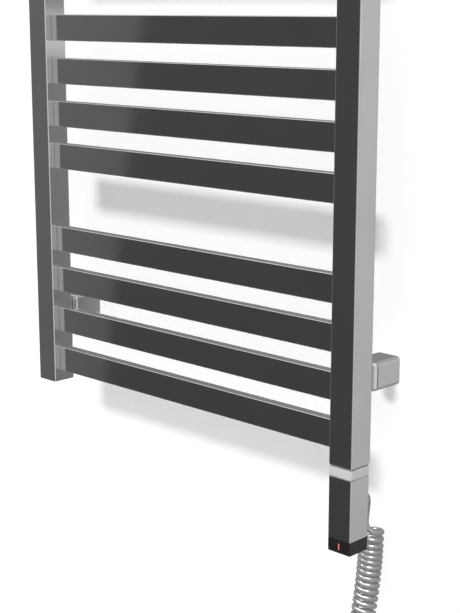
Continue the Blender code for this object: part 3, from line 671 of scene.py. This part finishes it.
def make_spring():
    """Return spring with closed end turns, built at its resting length."""
    low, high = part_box("button_spring")
    wire = SPRING_WIRE
    coil = (high.x - low.x) / 2 - wire
    end_rise = 2.2 * wire
    middle_rise = (high.z - low.z - 2 * wire - 2 * end_rise) / (SPRING_TURNS - 2)
    path = []
    for k in range(round(SPRING_TURNS * SPRING_STEPS) + 1):
        turns = k / SPRING_STEPS
        middle = min(max(turns - 1, 0.0), SPRING_TURNS - 2)
        ends = min(turns, 1.0) + max(turns - (SPRING_TURNS - 1), 0.0)
        rise = wire + ends * end_rise + middle * middle_rise
        angle = 2 * math.pi * turns
        path.append(
            Vector((POST_X + coil * math.cos(angle), HOUSING_Y + coil * math.sin(angle), low.z + rise))
        )
    data = swept_mesh("return_spring", path, [wire] * len(path), sides=12)
    spring = show("return_spring", data, "steel", ["button_spring"])
    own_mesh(spring)


# ---------------------------------------------------------------- cord
CORD_EXIT_DROP = 0.0402  # below the post's end, as are all drops
ELBOW_OUT = 0.0045
ELBOW_RADIUS = 0.0107
ELBOW_DOWN = 0.0157
COIL_AXIS_TOP = (0.2348, -0.0208)
LEAN_TOP_DROP = 0.0840
LEAN_DEPTH = 0.0840
COIL_LEAN = (0.0006, -0.0106)
LEAN_POWER = 1.81
COIL_BOTTOM_DROP = 0.2200
CORD_Y = HOUSING_HIGH.y + ELBOW_OUT + ELBOW_RADIUS
CORD_START_DROP = CORD_EXIT_DROP + ELBOW_RADIUS + ELBOW_DOWN
ELBOW_STEPS = 7
ELBOW_ROOT_RADIUS = 0.0050
ELBOW_ROOT = 0.0003  # how far the root stands out of the housing
ELBOW_FLANGE_RADIUS = 0.0064
ELBOW_FLANGE = 0.0018
ELBOW_BODY_RADIUS = 0.0052
ELBOW_TAPER = 0.0038
ELBOW_TAPER_FROM = 0.45  # share of the elbow's length, as is the next
ELBOW_NEAR = 0.3
RIBS_FROM, RIBS_TO = 0.2, 0.97
RIBS = 18
GROOVE_DEPTH = 0.00050
LEAD_END_DROP = 0.0715
FIRST_TURN_DROP = 0.0849  # where the first turn passes its right-hand side
RIGHT_SIDE = math.radians(44.3)
STEADY_PITCH = 0.00572
LOOSE_TURNS = 2.0
LOOSE_PITCH = 0.0020  # that much more on the first LOOSE_TURNS
OPENING = 0.000126
OPENS_AFTER = 5
TURNS = 18.35
COIL_FROM, COIL_TO = -0.16, TURNS - 0.25  # the turns between the bends at its two ends
BEND_IN = 0.007
BEND_OUT = 0.0095
STEPS_PER_TURN = 28


def coil_axis(drop):
    """Middle of the curly part: it swings forward with depth, then straightens towards its end."""
    depth = max(0.0, (drop - LEAN_TOP_DROP) / LEAN_DEPTH)
    share = min(1.0, depth) ** LEAN_POWER
    past = max(0.0, depth - 1.0)
    run_out = (COIL_BOTTOM_DROP - LEAN_TOP_DROP) / LEAN_DEPTH - 1.0
    share += LEAN_POWER * (past - past * past / (2 * run_out))
    return Vector(
        (
            COIL_AXIS_TOP[0] + COIL_LEAN[0] * share,
            COIL_AXIS_TOP[1] + COIL_LEAN[1] * share,
            below_post(drop),
        )
    )


def coil_drop(turns):
    """Depth of the curly part's centre line after some turns: open above, tight, then opening."""
    loose = LOOSE_TURNS - math.log(1 + math.exp(-3 * (turns - LOOSE_TURNS))) / 3
    opening = OPENING * max(0.0, turns - OPENS_AFTER) ** 2
    return FIRST_TURN_DROP + STEADY_PITCH * turns + LOOSE_PITCH * loose + opening


def coil_point(turns):
    """Place on the curly part, whose turns lie square to its axis, anticlockwise from above."""
    drop = coil_drop(turns)
    centre = coil_axis(drop)
    down = (coil_axis(drop + 0.0005) - coil_axis(drop - 0.0005)).normalized()
    across = (Vector((1, 0, 0)) - down * down.x).normalized()
    into = across.cross(down)
    turn = RIGHT_SIDE + 2 * math.pi * turns
    return centre + COIL_RADIUS * (across * math.cos(turn) + into * math.sin(turn))


def make_elbow():
    """Strain relief: a flange on the housing, then a ribbed taper that bends down to the cord."""
    z = below_post(CORD_EXIT_DROP)
    back = HOUSING_HIGH.y
    centre_line = [
        (POST_X, back - 0.0040, z),
        (POST_X, back + ELBOW_ROOT, z),
        (POST_X, back + ELBOW_OUT, z),
    ]
    for step in range(1, ELBOW_STEPS + 1):
        turn = step / ELBOW_STEPS * math.pi / 2
        y = back + ELBOW_OUT + ELBOW_RADIUS * math.sin(turn)
        centre_line.append((POST_X, y, z - ELBOW_RADIUS * (1 - math.cos(turn))))
    centre_line.append((POST_X, CORD_Y, below_post(CORD_START_DROP)))
    path = smooth_path(centre_line, 0.0003)
    length = len(path) - 1
    radii = []
    for k, point in enumerate(path):
        out = point.y - back
        share = k / length
        if out < ELBOW_ROOT and share < ELBOW_NEAR:
            radius = ELBOW_ROOT_RADIUS
        elif out < ELBOW_FLANGE and share < ELBOW_NEAR:
            radius = ELBOW_FLANGE_RADIUS
        else:
            taper = ELBOW_BODY_RADIUS - ELBOW_TAPER * max(0.0, share - ELBOW_TAPER_FROM)
            wave = math.sin(share * RIBS * 2 * math.pi)
            groove = GROOVE_DEPTH * max(0.0, min(1.0, 0.5 + 2.2 * wave))
            radius = taper - groove * (RIBS_FROM < share < RIBS_TO)
        radii.append(radius)
    return show("strain_relief", swept_mesh("strain_relief", path, radii), "grey_plastic", ["cord_elbow"])


def cord_route():
    """Lead, curly part and tail as one line of points."""
    start = below_post(CORD_START_DROP)
    down = Vector((0, 0, -1))
    lead = [
        Vector((POST_X, CORD_Y, start + 0.006)),
        Vector((POST_X, CORD_Y, start)),
        Vector((POST_X, CORD_Y, (start + below_post(LEAD_END_DROP)) / 2)),
        Vector((POST_X, CORD_Y, below_post(LEAD_END_DROP))),
    ]
    first, last = COIL_FROM, COIL_TO
    little = 0.001
    coil_start = coil_point(first)
    into_coil = coil_point(first + little) - coil_start
    lead += bend(lead[-1], down, coil_start, into_coil, BEND_IN)
    steps = round((last - first) * STEPS_PER_TURN)
    coil = [coil_point(first + (last - first) * k / steps) for k in range(steps + 1)]
    middle = coil_axis(COIL_BOTTOM_DROP)
    out_of_coil = coil_point(last) - coil_point(last - little)
    left = middle.x - COIL_RADIUS
    tail_top = Vector((left, middle.y, below_post(COIL_BOTTOM_DROP)))
    foot = tail_top.z
    plug_x = (PLUG_LOW.x + PLUG_HIGH.x) / 2
    tail = smooth_path(
        [
            tail_top,
            (left - 0.0002, middle.y, foot - 0.012),
            (left - 0.0008, middle.y, foot - 0.028),
            (left - 0.0016, middle.y, foot - 0.044),
            (plug_x + 0.0002, middle.y, foot - 0.060),
            (plug_x, middle.y, foot - 0.074),
            (plug_x, middle.y, PLUG_HIGH.z - 0.004),
        ],
        0.004,
    )
    between = bend(coil[-1], out_of_coil, tail_top, down, BEND_OUT)
    return lead + coil + between + tail


def make_cord(pieces_on_it):
    route = cord_route()
    data = bpy.data.curves.new("curly_cord", "CURVE")
    data.dimensions = "3D"
    data.bevel_depth = CORD_RADIUS
    data.bevel_resolution = 6
    data.use_fill_caps = True
    spline = data.splines.new("POLY")
    spline.points.add(len(route) - 1)
    for point, place in zip(spline.points, route):
        point.co = (*place, 1.0)
    spline.use_smooth = True
    cord = show("curly_cord", data, "cord_sheath", ["cord_lead", "cord_coil", "cord_tail"])


def make_plug():
    """Round mains plug with a ribbed neck, a waisted grip and two round pins."""
    x = (PLUG_LOW.x + PLUG_HIGH.x) / 2
    y = (PLUG_LOW.y + PLUG_HIGH.y) / 2
    top, face = PLUG_HIGH.z, PLUG_LOW.z
    rim = (PLUG_HIGH.x - PLUG_LOW.x) / 2
    corners = [(0.0030, 0.0), (0.0036, -0.0002)]
    ribs = 6
    for k in range(ribs):
        along = -0.003 - 0.003 * k
        radius = 0.0037 + 0.00022 * k
        corners += [
            (radius, along + 0.0001),
            (radius - 0.0005, along),
            (radius - 0.0005, along - 0.0010),
            (radius + 0.0001, along - 0.0011),
        ]
    corners += [
        (0.0052, -0.0220),
        (0.0090, -0.0250),
        (0.0150, -0.0300),
        (rim, -0.0360),
        (rim, -0.0440),
        (rim - 0.0006, -0.0444),
        (rim - 0.0006, -0.0452),
        (rim, -0.0456),
        (rim, face - top),
        (rim - 0.0030, face - top),
        (0.0002, face - top),
    ]
    body = turned("plug_shell", eased(corners, 0.0012), (x, y, top), "grey_plastic", ["plug_body"], sides=72)
    pieces = [body]
    for side in ("left", "right"):
        node = "plug_pin_" + side
        low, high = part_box(node)
        radius = (high.x - low.x) / 2
        corners = [(radius, high.z), (radius, low.z + 0.0008), (radius * 0.55, low.z)]
        tip = [(radius * 0.5, low.z), (0.0001, low.z)]
        middle = ((low.x + high.x) / 2, (low.y + high.y) / 2, 0)
        pieces.append(
            turned("pin_" + side, eased(corners + tip, 0.0010), middle, "steel", [node], sides=40)
        )
    return pieces


# ---------------------------------------------------------------- inner pieces
def finish_inner_nodes():
    """Gives each CAD node that stays its own finish."""
    slots = {s["node"]: s["material_slot"] for s in frame["record"]["subparts"]}
    for name, node in frame["nodes"].items():
        for slot in node.material_slots:
            slot.material = FINISHES[slots[name]]


# ---------------------------------------------------------------- stage
# painted light: camera-only glow on the wall and floor, stronger at the lower height, in place of fill light
WALL_GLOW_LOW, WALL_GLOW_HIGH = 0.33, 0.25
WALL_GLOW_HEIGHTS = (-0.50, -0.25)
WALL_FRONT = 0.0004  # just behind the brackets' backs
WALL_TOP = 4.0
FLOOR_Z = -1.25
STAGE_REACH = 6.0

EDGE_SLANT = -6.95  # degrees that the flats' upright edges lean over, from level to straight up
UNDERSIDE_LEVEL = 0.40
SURROUND_LEVEL = 0.42

CAMERA_PLACE = (1.06044, -1.08388, -0.02661)
CAMERA_TILT = 12.4428  # degrees below level
CAMERA_TURN = 44.1608  # degrees to the left of straight ahead
CAMERA_LENS = 79.706
CAMERA_SENSOR = 36.0


def make_wall_and_floor():
    """White wall that lets the back views through, and a pale floor well below; both carry a painted glow,
    seen by the camera only and stronger lower down.
    """
    wall_material, tree, shader, add = node_material("wall_paint")
    shader.inputs["Roughness"].default_value = 0.9
    shader.inputs["Specular IOR Level"].default_value = 0.0
    tint = spread(tree, add, noise(tree, add, 3.0), 0.0, 1.0)
    colour = blend_colours(tree, add, tint, (0.9, 0.9, 0.9), (0.89, 0.89, 0.89))
    tree.links.new(colour, shader.inputs["Base Color"])
    # painted light: a glow seen only by camera rays, graded from the lower height to the upper one
    shader.inputs["Emission Color"].default_value = (1, 1, 1, 1)
    height = add("ShaderNodeSeparateXYZ")
    tree.links.new(add("ShaderNodeTexCoord").outputs["Object"], height.inputs["Vector"])
    level = spread(tree, add, height.outputs["Z"], WALL_GLOW_LOW, WALL_GLOW_HIGH, *WALL_GLOW_HEIGHTS)
    glow = add("ShaderNodeMath", operation="MULTIPLY")
    tree.links.new(add("ShaderNodeLightPath").outputs["Is Camera Ray"], glow.inputs[0])
    tree.links.new(level, glow.inputs[1])
    tree.links.new(glow.outputs[0], shader.inputs["Emission Strength"])
    side = add("ShaderNodeNewGeometry")
    clear = add("ShaderNodeBsdfTransparent")
    mix = add("ShaderNodeMixShader")
    tree.links.new(side.outputs["Backfacing"], mix.inputs[0])
    tree.links.new(shader.outputs["BSDF"], mix.inputs[1])
    tree.links.new(clear.outputs["BSDF"], mix.inputs[2])
    tree.links.new(mix.outputs["Shader"], tree.nodes["Material Output"].inputs["Surface"])
    corners = {
        "wall": [
            (-STAGE_REACH, WALL_FRONT, FLOOR_Z),
            (STAGE_REACH, WALL_FRONT, FLOOR_Z),
            (STAGE_REACH, WALL_FRONT, WALL_TOP),
            (-STAGE_REACH, WALL_FRONT, WALL_TOP),
        ],
        "floor": [
            (-STAGE_REACH, -STAGE_REACH, FLOOR_Z),
            (STAGE_REACH, -STAGE_REACH, FLOOR_Z),
            (STAGE_REACH, WALL_FRONT, FLOOR_Z),
            (-STAGE_REACH, WALL_FRONT, FLOOR_Z),
        ],
    }
    for name, points in corners.items():
        data = bpy.data.meshes.new(name)
        data.from_pydata(points, [], [(0, 1, 2, 3)])
        data.materials.append(wall_material)
        plane = bpy.data.objects.new(name, data)
        bpy.context.scene.collection.objects.link(plane)
        plane.visible_glossy = False


def make_world():
    """Soft white surroundings, and the studio's dark and light flats as polished metal sees them."""
    world = bpy.data.worlds.new("studio")
    bpy.context.scene.world = world
    world.use_nodes = True
    tree = world.node_tree
    tree.nodes.clear()

    def add(kind, **settings):
        node = tree.nodes.new(kind)
        for key, value in settings.items():
            setattr(node, key, value)
        return node

    def maths(operation, first, second=0.0, third=0.0):
        node = add("ShaderNodeMath", operation=operation)
        for socket, value in zip(node.inputs, (first, second, third)):
            if isinstance(value, (int, float)):
                socket.default_value = value
            else:
                tree.links.new(value, socket)
        return node.outputs[0]

    def step_between(value, start, end):
        node = add("ShaderNodeMapRange", interpolation_type="SMOOTHSTEP")
        node.inputs["From Min"].default_value = start
        node.inputs["From Max"].default_value = end
        tree.links.new(value, node.inputs["Value"])
        return node.outputs["Result"]

    def mixed(first, second, share):
        kept = maths("MULTIPLY", first, maths("SUBTRACT", 1.0, share))
        return maths("ADD", kept, maths("MULTIPLY", share, second))

    split = add("ShaderNodeSeparateXYZ")
    tree.links.new(add("ShaderNodeTexCoord").outputs["Generated"], split.inputs["Vector"])
    across, into, up = split.outputs
    heading = maths("ARCTAN2", across, maths("MULTIPLY", into, -1.0))
    heading = maths("MULTIPLY", heading, 180 / math.pi)
    slanted = maths("MULTIPLY_ADD", up, EDGE_SLANT, heading)
    ramp = add("ShaderNodeValToRGB")
    flats = [
        (-180, 0.36),
        (-150, 0.33),
        (-134, 0.25),
        (-100, 0.32),
        (-75, 0.28),
        (-56, 0.175),
        (-51, 0.162),
        (-49, 0.146),
        (-47.5, 0.132),
        (-45, 0.126),
        (-38, 0.122),
        (-24, 0.133),
        (-8, 0.200),
        (8, 0.42),
        (35, 0.58),
        (56, 0.60),
        (72, 0.92),
        (104, 0.95),
        (118, 0.76),
        (130, 0.71),
        (141, 0.64),
        (147, 0.62),
        (156, 0.38),
    ]
    stops = ramp.color_ramp.elements
    while len(stops) > 1:
        stops.remove(stops[0])
    for number, (degrees, value) in enumerate(flats):
        place = degrees / 360 + 0.5
        stop = stops[0] if number == 0 else stops.new(place)
        stop.position = place
        stop.color = (value, value, value, 1)
    tree.links.new(maths("MULTIPLY_ADD", slanted, 1 / 360, 0.5), ramp.inputs["Fac"])
    level = add("ShaderNodeSeparateColor")
    tree.links.new(ramp.outputs["Color"], level.inputs["Color"])
    flat = level.outputs["Red"]
    dark_flat = maths(
        "MULTIPLY", step_between(slanted, -48.05, -47.45), step_between(slanted, -8.0, -22.0)
    )
    flat = maths("MULTIPLY", flat, maths("MULTIPLY_ADD", dark_flat, -0.40, 1.0))
    fall = maths("MULTIPLY_ADD", maths("MINIMUM", up, 0.0), 0.40, 1.0)
    flat = maths("MULTIPLY", flat, fall)
    above_level = maths("MULTIPLY", step_between(up, -0.014, 0.006), 0.85)
    low_patch = maths("ADD", step_between(up, -0.02, -0.055), above_level)
    low_patch = maths("MULTIPLY", low_patch, step_between(heading, 137.0, 128.0))
    low_patch = maths("MULTIPLY", low_patch, step_between(heading, 95.0, 115.0))
    flat = maths("MULTIPLY", flat, maths("MULTIPLY_ADD", low_patch, -0.66, 1.0))
    overhead = step_between(up, 0.28, 0.62)
    towards_room = step_between(maths("ABSOLUTE", heading), 118.0, 88.0)
    ceiling = maths("MULTIPLY_ADD", towards_room, 0.75, 0.50)
    flat = mixed(flat, ceiling, overhead)
    below = step_between(up, -0.42, -0.75)
    flat = mixed(flat, UNDERSIDE_LEVEL, below)

    studio = add("ShaderNodeBackground")
    tree.links.new(flat, studio.inputs["Strength"])
    soft = add("ShaderNodeBackground")
    soft.inputs["Strength"].default_value = SURROUND_LEVEL
    white = add("ShaderNodeBackground")
    white.inputs["Strength"].default_value = 1.0
    for background in (studio, soft, white):
        background.inputs["Color"].default_value = (1, 1, 1, 1)
    path = add("ShaderNodeLightPath")
    seen = add("ShaderNodeMixShader")
    tree.links.new(path.outputs["Is Camera Ray"], seen.inputs[0])
    tree.links.new(soft.outputs[0], seen.inputs[1])
    tree.links.new(white.outputs[0], seen.inputs[2])
    mirrored = add("ShaderNodeMixShader")
    tree.links.new(path.outputs["Is Glossy Ray"], mirrored.inputs[0])
    tree.links.new(seen.outputs[0], mirrored.inputs[1])
    tree.links.new(studio.outputs[0], mirrored.inputs[2])
    tree.links.new(mirrored.outputs[0], add("ShaderNodeOutputWorld").inputs["Surface"])


def area_light(name, place, target, size, power, glossy=True, diffuse=True, blockers=None, lit=None):
    """Soft box; only the blockers, if given, throw shadows in its light, and only lit is lit."""
    data = bpy.data.lights.new(name, "AREA")
    data.shape = "RECTANGLE"
    data.size, data.size_y = size
    data.energy = power
    light = bpy.data.objects.new(name, data)
    bpy.context.scene.collection.objects.link(light)
    light.location = place
    light.rotation_euler = (Vector(target) - Vector(place)).to_track_quat("-Z", "Y").to_euler()
    light.visible_glossy = glossy
    light.visible_diffuse = diffuse
    if blockers is not None:
        shadows = bpy.data.collections.new(name + "_shadows")
        for blocker in blockers:
            shadows.objects.link(bpy.data.objects[blocker])
        light.light_linking.blocker_collection = shadows
    if lit is not None:
        shown = bpy.data.collections.new(name + "_shows")
        for piece in lit:
            shown.objects.link(piece)
        light.light_linking.receiver_collection = shown


def make_camera():
    """Long lens, to the right of the rack's lower half and a little above it."""
    data = bpy.data.cameras.new("camera")
    data.sensor_width = CAMERA_SENSOR
    data.lens = CAMERA_LENS
    data.clip_start = 0.05
    data.clip_end = 60.0
    camera = bpy.data.objects.new("camera", data)
    bpy.context.scene.collection.objects.link(camera)
    camera.location = CAMERA_PLACE
    camera.rotation_euler = (math.radians(90 - CAMERA_TILT), 0, math.radians(CAMERA_TURN))
    bpy.context.scene.camera = camera


make_camera()
make_elbow()
make_cord(make_plug())
make_posts()
make_bars()
make_top_caps()
make_air_vent()
make_brackets()
make_collar()
make_housing()
make_end_cap()
make_lights()
make_button()
make_spring()
finish_inner_nodes()
make_wall_and_floor()
make_world()
last_bars = ["bar_shell_04", "bar_shell_08", "bar_shell_12", "bar_shell_16"]
cores = [node for node in frame["nodes"] if node.startswith("bracket_core_")]
rack_pieces = [
    piece
    for piece in bpy.data.objects
    if piece.type in ("MESH", "CURVE") and piece.name not in ("wall", "floor") and not piece.hide_render
]
area_light(
    "key",
    place=(-0.08, -3.3, 2.68),
    target=(0.0, 0.0, -0.2),
    size=(1.1, 0.6),
    power=122.0,
    blockers=last_bars + cores,
    lit=rack_pieces + [bpy.data.objects["wall"]],
)
cord_pieces = [bpy.data.objects[name] for name in ("curly_cord", "strain_relief", "plug_shell")]
area_light(
    "cord_gloss",
    place=(0.286, -0.625, 0.60),
    target=(0.236, -0.025, -0.60),
    size=(2.4, 1.0),
    power=120.0,
    diffuse=False,
    blockers=[],
    lit=cord_pieces,
)
area_light(
    "fill",
    place=(3.0, -1.6, 0.3),
    target=(0.0, 0.0, -0.4),
    size=(1.5, 1.5),
    power=15.0,
    glossy=False,
    blockers=[],
    lit=rack_pieces,
)
bpy.context.scene.view_settings.view_transform = "Standard"
